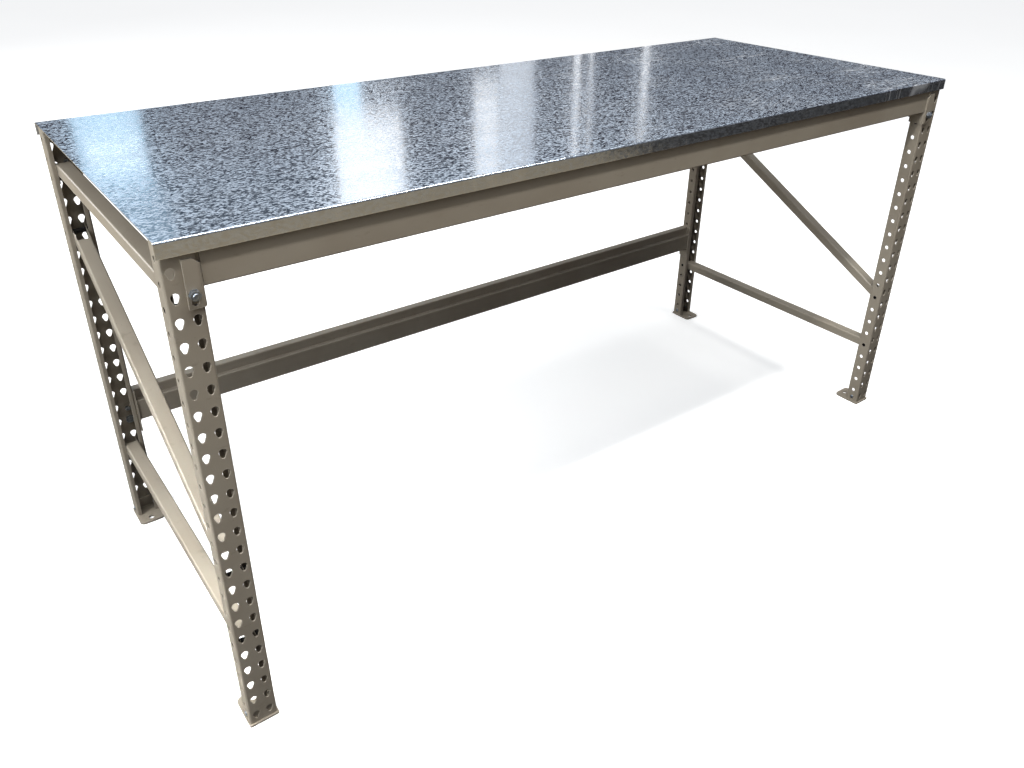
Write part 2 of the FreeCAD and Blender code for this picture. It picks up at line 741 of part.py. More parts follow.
def pin_places(end):
    """Where the pins of an end frame start, in the outer flange, and that they point to the inner one."""
    x = f"{end} * (bay_length / 2 + upright_width - pin_inset)"
    return [
        ((-end, 0, 0), x, f"{side} * (frame_depth / 2 - {FLANGE_MIDDLE})", flange_row(row))
        for side, row in BRACE_PINS
    ]


def rivet_places():
    """Where the rivets sit: both flanges of every foot."""
    places = []
    for end, side in CORNERS.values():
        for way in (-1, 1):
            x = f"{end} * {UPRIGHT_MIDDLE} - ({way}) * upright_width / 2"
            y = f"{side} * (frame_depth / 2 - {FLANGE_MIDDLE})"
            places.append(((way, 0, 0), x, y, "foot_plate + rivet_height"))
    return places


# The bench, piece by piece
make_sheet("worktop_sheet")
make_deck("deck_board")
for beam, beam_side, beam_row in BEAM_ENDS:
    make_beam(beam, beam_side, beam_row)
    make_connector(f"{beam}_left_connector", -1, beam_side, beam_row)
    make_connector(f"{beam}_right_connector", 1, beam_side, beam_row)
for corner_name, (corner_end, corner_side) in CORNERS.items():
    make_upright(f"{corner_name}_upright", corner_end, corner_side)
    make_foot(f"{corner_name}_foot", corner_end, corner_side)

lock_bolt = make_lock_bolt()
hook_stud = make_hook_stud()
spring_pin = make_spring_pin()
nut = make_nut()
rivet = make_rivet()
for frame_name, frame_end in (("left", -1), ("right", 1)):
    top = flange_row(TOP_BRACE_ROW)
    low = flange_row("low_brace_row")
    middle = flange_row("(diagonal_front_row + diagonal_rear_row) / 2")
    level_ends = ("level_end_gap", "level_cut_back")
    diagonal_ends = ("diagonal_end_gap", "diagonal_cut_back")
    make_brace(f"{frame_name}_top_brace", frame_end, top, "0", *level_ends, lift="hole_pitch / 2")
    make_brace(f"{frame_name}_lower_brace", frame_end, low, "0", *level_ends)
    make_brace(f"{frame_name}_diagonal_brace", frame_end, middle, BRACE_RISE, *diagonal_ends)
    set_copies(f"{frame_name}_brace_pins", spring_pin, pin_places(frame_end))
set_copies("hook_studs", hook_stud, connector_places(True, "0", 1, "-keyhole_drop"))
set_copies("beam_lock_bolts", lock_bolt, connector_places(False, "-upright_steel", 0, "keyhole_rise"))
set_copies("beam_lock_nuts", nut, connector_places(False, "connector_steel", 0, "keyhole_rise"))
set_copies("foot_rivets", rivet, rivet_places())

# Check every object, then write each piece
doc.recompute()
for item in doc.Objects:
    if {"Invalid", "Error"} & set(item.State):
        raise RuntimeError(f"{item.Label} did not build: {item.State}")
for node in nodes:
    if node.Shape.isNull() or not node.Shape.isValid():
        raise RuntimeError(f"{node.Label} has no valid shape")
os.makedirs("parts", exist_ok=True)
for node in nodes:
    node.Shape.exportStep(f"parts/{node.Label}.step")
    print(node.Label, len(node.Shape.Solids), "solids", round(node.Shape.Volume / 1000, 1), "cm3")
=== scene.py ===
# %% [markdown]
# This lesson dresses a long steel workbench. Its frame is bolted together from punched uprights, step beams
# and channel braces, and its top is one folded galvanised sheet.
# All of these are rigid sheet metal with exact sizes, so their shapes come from the CAD solids. What is left
# for Blender is what a solid can't carry: finishes with grain and wear, weld beads, light and a camera.

# %% Load the bench and keep its box
import json
from typing import NamedTuple

import bpy
import numpy as np
from mathutils import Matrix, Vector


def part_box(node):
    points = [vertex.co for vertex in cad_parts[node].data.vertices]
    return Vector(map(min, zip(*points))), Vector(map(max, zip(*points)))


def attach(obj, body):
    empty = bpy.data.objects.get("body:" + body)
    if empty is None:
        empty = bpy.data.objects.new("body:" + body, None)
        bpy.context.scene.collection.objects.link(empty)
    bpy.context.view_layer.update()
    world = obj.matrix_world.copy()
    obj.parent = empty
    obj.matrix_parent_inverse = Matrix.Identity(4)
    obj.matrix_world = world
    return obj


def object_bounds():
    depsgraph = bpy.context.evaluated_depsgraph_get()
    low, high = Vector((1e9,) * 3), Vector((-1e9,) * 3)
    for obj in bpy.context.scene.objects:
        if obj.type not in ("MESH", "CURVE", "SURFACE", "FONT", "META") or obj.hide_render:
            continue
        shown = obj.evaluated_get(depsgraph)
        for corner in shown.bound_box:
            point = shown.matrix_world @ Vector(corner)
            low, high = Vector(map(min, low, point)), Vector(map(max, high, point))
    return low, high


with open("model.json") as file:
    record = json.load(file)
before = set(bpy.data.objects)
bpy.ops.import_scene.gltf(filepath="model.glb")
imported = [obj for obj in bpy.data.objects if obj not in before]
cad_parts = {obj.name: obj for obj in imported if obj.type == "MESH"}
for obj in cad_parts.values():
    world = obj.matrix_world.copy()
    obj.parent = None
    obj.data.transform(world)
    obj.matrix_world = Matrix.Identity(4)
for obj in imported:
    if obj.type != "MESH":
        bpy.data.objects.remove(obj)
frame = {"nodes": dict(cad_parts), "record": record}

cad_box = [list(corner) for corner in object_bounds()]
print("pieces from the CAD model:", len(frame["nodes"]))
print("their box in metres:", np.round(cad_box, 4).tolist())

# %% [markdown]
# A finish is a small tree of nodes that ends in one Principled shader. Writing every node and link out by
# hand is long, and joining nodes in the editor can't be repeated. So a recipe object does both: a number is
# set on a socket, and another node's socket is linked to it.

# %% The recipe that every finish is written with
class Recipe:
    """The node tree of one finish, with short names for its nodes, links and arithmetic."""

    def __init__(self, name):
        self.material = bpy.data.materials.new(name)
        self.material.use_nodes = True
        self.tree = self.material.node_tree
        self.shader = self.tree.nodes["Principled BSDF"]

    def add(self, kind, inputs=None, **settings):
        """Makes a node, sets its options, then sets or links each of its inputs."""
        node = self.tree.nodes.new(kind)
        for option, value in settings.items():
            setattr(node, option, value)
        for socket, value in (inputs or {}).items():
            self.feed(node.inputs[socket], value)
        return node

    def feed(self, socket, value):
        """Links another node's socket, or sets a plain number or colour."""
        if isinstance(value, bpy.types.NodeSocket):
            self.tree.links.new(value, socket)
        else:
            socket.default_value = value

    def shade(self, **inputs):
        """Feeds the shader. Sockets with a space in their name are written with an underscore."""
        for socket, value in inputs.items():
            self.feed(self.shader.inputs[socket.replace("_", " ")], value)

    def maths(self, operation, first, second=0.0):
        """One step of arithmetic, such as MULTIPLY, on two numbers."""
        return self.add("ShaderNodeMath", {0: first, 1: second}, operation=operation).outputs[0]

    def vector_maths(self, operation, first, second=(0.0, 0.0, 0.0), output="Vector"):
        """One step of arithmetic on two vectors, read as a vector or, with output Value, as a number."""
        node = self.add("ShaderNodeVectorMath", {0: first, 1: second}, operation=operation)
        return node.outputs[output]

    def between(self, value, low, high, out_low=0.0, out_high=1.0):
        """Maps low..high to out_low..out_high and stays within them."""
        inputs = {"Value": value, "From Min": low, "From Max": high, "To Min": out_low, "To Max": out_high}
        return self.add("ShaderNodeMapRange", inputs).outputs[0]

    def ramp(self, value, ends):
        """Goes from the first end to the second as value goes from 0 to 1."""
        return self.between(value, 0.0, 1.0, *ends)

    def blend(self, share, first, second):
        """Goes from the first colour to the second as share goes from 0 to 1."""
        node = self.add("ShaderNodeMix", data_type="RGBA")
        self.feed(node.inputs["Factor"], share)
        for socket, value in (("A", first), ("B", second)):
            self.feed([i for i in node.inputs if i.name == socket and i.type == "RGBA"][0], value)
        return [o for o in node.outputs if o.type == "RGBA"][0]


def rgb(red, green, blue):
    """A colour as the eye reads it, 0 to 255, turned into the linear light that a shader works in."""
    share = np.array([red, green, blue]) / 255
    linear = np.where(share <= 0.04045, share / 12.92, ((share + 0.055) / 1.055) ** 2.4)
    return (*linear.tolist(), 1.0)


print("recipe ready; mid grey is", np.round(rgb(128, 128, 128), 3).tolist())

# %% [markdown]
# Patterns come next, and all of them are read from Object coordinates. The pieces sit at the origin, so those
# are metres on the bench, and a scale is the number of grains in a metre. Lighter worn edges with their
# painted
# highlight, and painted shade in hollows, could be drawn by hand, but the shader can find where they belong:
# near an edge a rounded normal turns away from the true one, and a hollow sees little of the open sky.

# %% Patterns that the finishes share
EDGE_SAMPLES = 4
HOLLOW_SAMPLES = 6
FLAT_AGREES = 0.998
OPEN_TO_HOLLOW = (0.75, 0.15)


class Grain(NamedTuple):
    """A cloudy noise: grains per metre, in all or for X, Y and Z, and the band of its values that shows."""

    per_metre: object
    detail: float = 2.0
    roughness: float = 0.55
    low: float = 0.0
    high: float = 1.0
    turn: float = 0.0


class Finish(Recipe):
    """A recipe with the patterns of wear, dirt, painted shade and painted highlight on metal, placed by
    metres on the bench.
    """

    def __init__(self, name):
        super().__init__(name)
        self.place = self.add("ShaderNodeTexCoord").outputs["Object"]

    def metres(self, axis):
        """Distance along X, Y or Z from the floor under the middle of the bench."""
        return self.add("ShaderNodeSeparateXYZ", {"Vector": self.place}).outputs[axis]

    def stretched(self, per_metre, turn=0.0):
        """Object coordinates turned about Z, then times a number of grains per metre along X, Y and Z."""
        turned = self.add("ShaderNodeMapping", {"Vector": self.place, "Rotation": (0, 0, turn)})
        return self.add("ShaderNodeMapping", {"Vector": turned.outputs[0], "Scale": per_metre}).outputs[0]

    def noise(self, grain):
        """Smooth cloudy noise from 0 to 1, with its middle at 0.5."""
        even = not isinstance(grain.per_metre, tuple)
        inputs = {
            "Vector": self.place if even else self.stretched(grain.per_metre, grain.turn),
            "Scale": grain.per_metre if even else 1.0,
            "Detail": grain.detail,
            "Roughness": grain.roughness,
        }
        return self.add("ShaderNodeTexNoise", inputs).outputs["Fac"]

    def clouds(self, grain, ends=(0.0, 1.0)):
        """The noise cut to the grain's band: the first end below the band, the second end above it."""
        return self.between(self.noise(grain), grain.low, grain.high, *ends)

    def true_normal(self):
        """The way that the metal really faces, without any bump."""
        return self.add("ShaderNodeNewGeometry").outputs["Normal"]

    def level(self):
        """1 on faces that look straight up or down, 0 on upright ones."""
        upward = self.add("ShaderNodeSeparateXYZ", {"Vector": self.true_normal()}).outputs["Z"]
        return self.maths("ABSOLUTE", upward)

    def edges(self, reach, full):
        """1 on an edge or a tight bend, 0 on flat metal: how far a rounded normal turns from the true one."""
        rounded = self.add("ShaderNodeBevel", {"Radius": reach}, samples=EDGE_SAMPLES).outputs[0]
        agree = self.vector_maths("DOT_PRODUCT", rounded, self.true_normal(), "Value")
        return self.between(agree, FLAT_AGREES, full)

    def hollows(self, reach):
        """1 deep in a corner or a hollow of the piece itself, 0 in the open."""
        inputs = {"Distance": reach}
        open_sky = self.add("ShaderNodeAmbientOcclusion", inputs, samples=HOLLOW_SAMPLES, only_local=True)
        return self.between(open_sky.outputs["AO"], *OPEN_TO_HOLLOW)

    def facets(self, colour, tilt):
        """The true normal, tipped by a random colour: normal + (colour - 0.5) * tilt, made one long again."""
        centred = self.vector_maths("SUBTRACT", colour, (0.5, 0.5, 0.5))
        tip = self.vector_maths("MULTIPLY", centred, (tilt, tilt, tilt))
        return self.vector_maths("NORMALIZE", self.vector_maths("ADD", self.true_normal(), tip))

    def relief(self, height, depth, normal=None):
        """A bump of so many metres, for texture too fine to model, on the true normal or on a tipped one."""
        node = self.add("ShaderNodeBump", {"Height": height, "Distance": depth, "Strength": 1.0})
        if normal:
            self.feed(node.inputs["Normal"], normal)
        self.feed(self.shader.inputs["Normal"], node.outputs[0])


print("patterns ready; a plain grain is", Grain(1.0))

# %% [markdown]
# The frame is powder coated in a pebble grey. Powder melts into a skin with a faint ripple, called orange
# peel, a millimetre or two across. A flat colour would look like plastic, so the coat varies a little in
# colour and gloss, thins to a lighter tone on edges, which doubles as a painted highlight on bends, has a
# few small knocks and dust near the floor, and has painted shade darkening its hollows.

# %% Pebble grey powder coat
COAT = rgb(149, 141, 127)
COAT_WARM = rgb(140, 131, 117)
# lighter tone of the thinned coat on edges, which also serves as a painted highlight along bends
COAT_THIN_AND_HIGHLIGHT = rgb(184, 176, 162)
KNOCK = rgb(92, 85, 75)
# the dark tone of the painted shade in the coat's hollows
PAINTED_HOLLOW_SHADE = rgb(40, 34, 27)
FLOOR_DUST = rgb(128, 119, 104)
COAT_CLOUDS = Grain(7, detail=3, low=0.35, high=0.65)
PATCHES = Grain(60, detail=4, roughness=0.7, low=0.45, high=0.62)
SPECKS = Grain(240, roughness=0.4, low=0.77, high=0.80)
SMEARS = Grain((30, 30, 90), detail=4, roughness=0.65, low=0.62, high=0.75)
DUST_CLOUDS = Grain(30, detail=4, roughness=0.65, low=0.35, high=0.7)
GLOSS_CLOUDS = Grain(18, detail=4, roughness=0.6, low=0.3, high=0.7)
ORANGE_PEEL = Grain(620, roughness=0.5)
HOLLOW_REACH = 0.03
HOLLOW_SHADE_SHARE = (0.65, 0.9)
WEAR_AND_HIGHLIGHT_REACH = 0.0022
WEAR_AND_HIGHLIGHT_FULL = 0.90
WEAR_AND_HIGHLIGHT_SHARE = (0.35, 0.9)
SMEAR_SHARE = (0.0, 0.35)
DUST_HIGH = 0.16
DUST_SHARE = (0.1, 0.8)
COAT_ROUGHNESS = (0.36, 0.52)
DUST_AND_HOLLOW_ROUGHNESS = 0.25
PEEL_DEEP = 0.00009

def powder_coat():
    """Clouded coat colour; edges lighter (wear and a painted highlight), painted shade in hollows, knocks
    darker, dust low down; orange peel as bump.
    """
    r = Finish("pebble_powder_coat")
    coat = r.blend(r.clouds(COAT_CLOUDS), COAT, COAT_WARM)
    patchy = r.clouds(PATCHES)
    # painted shade: the coat darkens, in patches, in its hollows, where little light reaches
    hollow_shade = r.maths("MULTIPLY", r.hollows(HOLLOW_REACH), r.ramp(patchy, HOLLOW_SHADE_SHARE))
    coat = r.blend(hollow_shade, coat, PAINTED_HOLLOW_SHADE)
    # edges lighter: the coat thinned by wear, and a painted highlight along bends such as the beams' ledges
    wear_and_highlight = r.maths("MULTIPLY", r.edges(WEAR_AND_HIGHLIGHT_REACH, WEAR_AND_HIGHLIGHT_FULL), r.ramp(patchy, WEAR_AND_HIGHLIGHT_SHARE))
    coat = r.blend(wear_and_highlight, coat, COAT_THIN_AND_HIGHLIGHT)
    knocks = r.maths("MAXIMUM", r.clouds(SPECKS), r.clouds(SMEARS, SMEAR_SHARE))
    coat = r.blend(knocks, coat, KNOCK)
    low_down = r.between(r.metres("Z"), DUST_HIGH, 0.0)
    dust = r.maths("MULTIPLY", low_down, r.clouds(DUST_CLOUDS, DUST_SHARE))
    coat = r.blend(dust, coat, FLOOR_DUST)
    clean = r.clouds(GLOSS_CLOUDS, COAT_ROUGHNESS)
    # roughness rises where there is dust and in the hollows that carry the painted shade
    dust_and_hollow_dulling = r.maths("MULTIPLY", r.maths("MAXIMUM", dust, hollow_shade), DUST_AND_HOLLOW_ROUGHNESS)
    r.shade(Base_Color=coat, Roughness=r.maths("ADD", clean, dust_and_hollow_dulling), Metallic=0.0)
    r.relief(r.noise(ORANGE_PEEL), PEEL_DEEP)
    return r.material

coat_finish = powder_coat()
print("powder coat nodes:", len(coat_finish.node_tree.nodes))

# %% [markdown]
# The top is hot-dip galvanised sheet. Zinc freezes in crystals, called spangle: some are bright as a mirror
# and some frosted. Where the sheet mirrors something dim the bright ones look dark and the frosted ones pale,
# and where it mirrors something bright both look pale. A painted pattern would show the same dashes
# everywhere, so here it is mostly the roughness that changes from crystal to crystal, the colour only a
# little. Frosted crystals also scatter some light as chalk does, and each crystal lies at its own slight
# angle. Folding has rubbed the lips smooth, so their crystals hardly show.

# %% Spangle of the galvanised sheet
SPANGLE = Grain((260, 440, 440), detail=3, roughness=0.65, low=0.40, high=0.58)
FEATHER_SHARE = 0.6
UPRIGHT_TO_LEVEL = (0.3, 0.98)
LIP_TO_TOP = (0.25, 1.0)

def zinc_crystals(r):
    """Feathery noise, a random colour for each crystal, and the spangle: 0 on bright crystals, 1 on frosted.

    Voronoi cells are the crystals. The spangle is cut from feather * share + cell * (1 - share), and fades on
    upright faces.
    """
    feather = r.noise(SPANGLE)
    cells = {"Vector": r.stretched(SPANGLE.per_metre), "Scale": 1.0, "Randomness": 1.0}
    colour = r.add("ShaderNodeTexVoronoi", cells).outputs["Color"]
    cell = r.add("ShaderNodeSeparateColor", {"Color": colour}).outputs[0]
    soft = r.maths("MULTIPLY", feather, FEATHER_SHARE)
    hard = r.maths("MULTIPLY", cell, 1.0 - FEATHER_SHARE)
    crystals = r.between(r.maths("ADD", soft, hard), SPANGLE.low, SPANGLE.high)
    on_top = r.between(r.level(), *UPRIGHT_TO_LEVEL, *LIP_TO_TOP)
    return feather, colour, r.maths("MULTIPLY", crystals, on_top)

print("crystals per metre along X, Y and Z:", SPANGLE.per_metre)

# %% [markdown]
# Use has left hair scratches along the sheet, more of them to the right, and one scuff. Scratches could be
# drawn as curves, but there are hundreds. A scratch is instead the thin band where a long drawn-out noise
# passes through one value, so a few noises turned different ways give all of them.

# %% Scratches and the scuff
SCRATCH_SETS = (
    Grain((0.9, 75, 1), detail=1, roughness=0.4, turn=0.03),
    Grain((1.3, 60, 1), detail=1, roughness=0.4, turn=-0.07),
    Grain((2.2, 50, 1), detail=1, roughness=0.4, turn=0.16),
    Grain((6.0, 40, 1), detail=1, roughness=0.4, turn=-0.85),
)
SCRATCH_VALUE = 0.53
HAIR_EDGE_TO_CORE = (0.010, 0.002)
SCRATCH_PATCHES = Grain(4.5, detail=3, low=0.44, high=0.60)
SCRATCHED_ALONG = (-0.45, 0.40)
SCRATCHED_SHARE = (0.12, 1.0)
SCUFF_MIDDLE = (0.33, -0.25, 0.83)
SCUFF_EDGE_TO_CORE = (0.16, 0.02)
SCUFF_SHARE = (0.0, 0.75)
SCUFF_RUB = Grain((9, 130, 1), detail=3, roughness=0.6, low=0.46, high=0.62, turn=-0.35)

def hair_scratches(r):
    """1 where any of the noises lies within a hair of the value, in patches that thicken to the right."""
    scratches = None
    for drawn_out in SCRATCH_SETS:
        off_line = r.maths("ABSOLUTE", r.maths("SUBTRACT", r.noise(drawn_out), SCRATCH_VALUE))
        hair = r.between(off_line, *HAIR_EDGE_TO_CORE)
        scratches = hair if scratches is None else r.maths("MAXIMUM", scratches, hair)
    to_right = r.between(r.metres("X"), *SCRATCHED_ALONG, *SCRATCHED_SHARE)
    where = r.maths("MULTIPLY", to_right, r.clouds(SCRATCH_PATCHES))
    return r.maths("MULTIPLY", scratches, where)

def scuff_mark(r):
    """Rubbed streaks that fade with the distance from the scuff's middle."""
    away = r.vector_maths("DISTANCE", r.place, SCUFF_MIDDLE, "Value")
    fade = r.between(away, *SCUFF_EDGE_TO_CORE, *SCUFF_SHARE)
    return r.maths("MULTIPLY", fade, r.clouds(SCUFF_RUB))

print("sets of scratches:", len(SCRATCH_SETS))

# %% Galvanised sheet
ZINC_DARK = rgb(176, 181, 189)
# pale zinc of the frosted crystals; its blue tint is a painted reflection of bluish room light
FROSTED_ZINC_PAINTED_BLUE = rgb(192, 206, 222)
ZINC_BRIGHT = rgb(226, 229, 232)
ZINC_CLOUDS = Grain((4, 11, 11), detail=3, roughness=0.6, low=0.35, high=0.68)
CLOUD_SHARE = 0.25
CLOUD_ROUGHNESS = 0.04
MARK_SHARE = 0.75
MARK_ROUGHNESS = 0.5
MARK_SUNK = -0.25
RUBBED_REACH = 0.0022
RUBBED_FULL = 0.88
RUBBED_SHARE = 0.6
BRIGHT_TO_FROSTED = (0.06, 0.24)
FROST_SCATTER = 0.42
CRYSTAL_TILT = 0.02
FEATHER_DEEP = 0.00002

def galvanised_sheet():
    """Zinc whose roughness, scatter and tilt go by crystal, with brighter marks and brighter rubbed edges."""
    r = Finish("galvanised_sheet")
    feather, crystal_colour, spangle = zinc_crystals(r)
    clouds = r.clouds(ZINC_CLOUDS)
    marks = r.maths("MAXIMUM", hair_scratches(r), scuff_mark(r))
    rubbed = r.edges(RUBBED_REACH, RUBBED_FULL)
    zinc = r.blend(spangle, ZINC_DARK, FROSTED_ZINC_PAINTED_BLUE)
    zinc = r.blend(r.maths("MULTIPLY", clouds, CLOUD_SHARE), zinc, ZINC_DARK)
    zinc = r.blend(r.maths("MULTIPLY", marks, MARK_SHARE), zinc, ZINC_BRIGHT)
    zinc = r.blend(r.maths("MULTIPLY", rubbed, RUBBED_SHARE), zinc, ZINC_BRIGHT)
    frost = r.ramp(spangle, BRIGHT_TO_FROSTED)
    frost = r.maths("ADD", frost, r.maths("MULTIPLY", clouds, CLOUD_ROUGHNESS))
    frost = r.maths("MAXIMUM", frost, r.maths("MULTIPLY", marks, MARK_ROUGHNESS))
    r.shade(Base_Color=zinc, Roughness=frost, Metallic=r.ramp(spangle, (1.0, 1.0 - FROST_SCATTER)))
    height = r.maths("ADD", feather, r.maths("MULTIPLY", marks, MARK_SUNK))
    r.relief(height, FEATHER_DEEP, r.facets(crystal_colour, CRYSTAL_TILT))
    return r.material

sheet_finish = galvanised_sheet()
print("galvanised sheet nodes:", len(sheet_finish.node_tree.nodes))

# %% [markdown]
# The nuts, locking bolts, studs and rivets are zinc plated: a thin coat with a bluish cast that goes a little
# milky. The slotted pins that hold the braces are black oxide, which rubs through to steel on its edges.
# Both are small, so their patterns are fine, a few millimetres at most.

# %% Bright zinc plate
PLATE = rgb(158, 166, 176)
PLATE_MILKY = rgb(122, 128, 135)
MILKY_CLOUDS = Grain(260, detail=4, roughness=0.6, low=0.42, high=0.64)
TURNING_MARKS = Grain((300, 300, 2200))
TOOL_RUB_REACH = 0.0008
TOOL_RUB_FULL = 0.9
TOOL_RUB_SHARE = 0.5
FASTENER_ROUGHNESS = (0.34, 0.55)
FASTENER_GRAIN_DEEP = 0.00003

def zinc_plate():
    """Milky clouds over bright plate; tool rub on edges; fine turning marks as bump."""
    r = Finish("zinc_plate")
    milky = r.clouds(MILKY_CLOUDS)
    plate = r.blend(milky, PLATE, PLATE_MILKY)
    tool_rub = r.maths("MULTIPLY", r.edges(TOOL_RUB_REACH, TOOL_RUB_FULL), TOOL_RUB_SHARE)
    plate = r.blend(tool_rub, plate, ZINC_BRIGHT)
    r.shade(Base_Color=plate, Roughness=r.ramp(milky, FASTENER_ROUGHNESS), Metallic=1.0)
    r.relief(r.noise(TURNING_MARKS), FASTENER_GRAIN_DEEP)
    return r.material

plate_finish = zinc_plate()
print("zinc plate nodes:", len(plate_finish.node_tree.nodes))

# %% Black oxide
OXIDE = rgb(24, 24, 26)
OXIDE_BROWN = rgb(38, 34, 31)
OXIDE_RUBBED = rgb(104, 102, 99)
BROWN_CLOUDS = Grain(320, detail=3, roughness=0.6, low=0.4, high=0.65)
OXIDE_RUB = Grain(500, low=0.4, high=0.6)
OXIDE_RUB_SHARE = (0.1, 0.6)
OXIDE_RUB_REACH = 0.0006
OXIDE_RUB_FULL = 0.9
OXIDE_METALLIC = 0.4
OXIDE_GRAIN = Grain(1800)

def black_oxide():
    """Near black with brown clouds; edges rubbed to steel; matt where the oil has dried."""
    r = Finish("black_oxide")
    brown = r.clouds(BROWN_CLOUDS)
    black = r.blend(brown, OXIDE, OXIDE_BROWN)
    edge = r.edges(OXIDE_RUB_REACH, OXIDE_RUB_FULL)
    rubbed = r.maths("MULTIPLY", edge, r.clouds(OXIDE_RUB, OXIDE_RUB_SHARE))
    black = r.blend(rubbed, black, OXIDE_RUBBED)
    r.shade(Base_Color=black, Roughness=r.ramp(brown, FASTENER_ROUGHNESS), Metallic=OXIDE_METALLIC)
    r.relief(r.noise(OXIDE_GRAIN), FASTENER_GRAIN_DEEP)
    return r.material

oxide_finish = black_oxide()
print("black oxide nodes:", len(oxide_finish.node_tree.nodes))

# %% [markdown]
# Under the sheet lies a chipboard deck. It shows only from below and at the ends, as pressed chips of
# different browns a few millimetres long. Voronoi cells are close to chips: each cell gets its own tone, and
# the cells are stretched along the board and broken up with a little noise so they don't look like tiles.

# %% Raw chipboard
CHIP_PALE = rgb(204, 172, 128)
CHIP_DARK = rgb(136, 100, 62)
RESIN = rgb(92, 66, 42)
CHIPS_PER_METRE = (95, 210, 260)
WOBBLES_PER_METRE = 120.0
WOBBLE_DETAIL = 2.0
WOBBLE = (0.006, 0.006, 0.006)
GAP_EDGE_TO_CORE = (0.07, 0.0)
RESIN_SHARE = 0.6
BOARD_ROUGHNESS = (0.62, 0.85)
CHIPS_DEEP = 0.00025

def chipboard():
    """Cell tone from a Voronoi pattern on wobbled coordinates; resin in the gaps; gaps pressed in as bump."""
    r = Finish("raw_chipboard")
    waves = {"Vector": r.place, "Scale": WOBBLES_PER_METRE, "Detail": WOBBLE_DETAIL}
    wobble = r.vector_maths("MULTIPLY", r.add("ShaderNodeTexNoise", waves).outputs["Color"], WOBBLE)
    bent = r.vector_maths("ADD", r.place, wobble)
    chips = r.add("ShaderNodeMapping", {"Vector": bent, "Scale": CHIPS_PER_METRE}).outputs[0]
    cells = {"Vector": chips, "Scale": 1.0}
    colour = r.add("ShaderNodeTexVoronoi", cells).outputs["Color"]
    tone = r.add("ShaderNodeSeparateColor", {"Color": colour}).outputs[0]
    to_edge = r.add("ShaderNodeTexVoronoi", cells, feature="DISTANCE_TO_EDGE").outputs[0]
    gap = r.between(to_edge, *GAP_EDGE_TO_CORE)
    wood = r.blend(tone, CHIP_PALE, CHIP_DARK)
    wood = r.blend(r.maths("MULTIPLY", gap, RESIN_SHARE), wood, RESIN)
    r.shade(Base_Color=wood, Roughness=r.ramp(tone, BOARD_ROUGHNESS), Metallic=0.0)
    r.relief(r.maths("SUBTRACT", tone, gap), CHIPS_DEEP)
    return r.material

board_finish = chipboard()
print("chipboard nodes:", len(board_finish.node_tree.nodes))

# %% [markdown]
# The record that came with the solids says which material slot each piece belongs to. Pieces could be dressed
# one by one, but dressing them from that list keeps the finishes and the record in step, and no piece can be
# left bare by mistake.

# %% Dress the CAD pieces
FINISHES = {
    "galvanised_sheet": sheet_finish,
    "frame_paint": coat_finish,
    "zinc_plate": plate_finish,
    "black_oxide": oxide_finish,
    "deck_board": board_finish,
}

for entry in frame["record"]["subparts"]:
    for place in frame["nodes"][entry["node"]].material_slots:
        place.material = FINISHES[entry["material_slot"]]

# %% [markdown]
# Each beam is welded to its two connectors before it is painted. The bead runs down the inner side, over the
# ledge and along the underside, and stays off the outer face, which is kept clean. A bead could be a bevelled
# curve, but its fish-scale ripple needs a radius that changes along the way. So it is a tube: a circle
# carried along a path, with the radius as a wave of the distance travelled.

# %% The bead's path in the section of a beam
BEAM_TOP_WIDE = 0.020
LEDGE_HIGH = 0.045
BEAD_STOP = 0.004
BEAD_STEPS = 420
BEND_WINDOW = 13

def bead_path(beam_wide, beam_high):
    """Points (u, v) on the inner outline of the section, and the distance travelled to each.

    u is metres inwards from the outer face and v metres above the underside. The outline stops short of the
    top and of the underside's outer corner. Its corners are turned into bends by a running mean over points
    spaced evenly along it.
    """
    corners = np.array([
        (BEAM_TOP_WIDE, beam_high - BEAD_STOP),
        (BEAM_TOP_WIDE, LEDGE_HIGH),
        (beam_wide, LEDGE_HIGH),
        (beam_wide, 0.0),
        (BEAD_STOP, 0.0),
    ])
    lengths = np.linalg.norm(np.diff(corners, axis=0), axis=1)
    reached = np.concatenate([[0], np.cumsum(lengths)])
    travelled = np.linspace(0, reached[-1], BEAD_STEPS)
    outline = [np.interp(travelled, reached, column) for column in corners.T]
    padded = [np.pad(column, BEND_WINDOW // 2, mode="edge") for column in outline]
    mean = np.ones(BEND_WINDOW) / BEND_WINDOW
    bends = [np.convolve(column, mean, "valid") for column in padded]
    return travelled, np.stack(bends, axis=1)

beam_low, beam_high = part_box("front_beam")
travelled, path = bead_path(beam_high.y - beam_low.y, beam_high.z - beam_low.z)
print("bead length in millimetres:", round(float(travelled[-1]) * 1000, 1))

# %% Carry the circle along the path
BEAD_RADIUS = 0.0021
BEAD_SIDES = 14
RIPPLE_LONG = 0.0023
RIPPLE_SHARE = 0.14

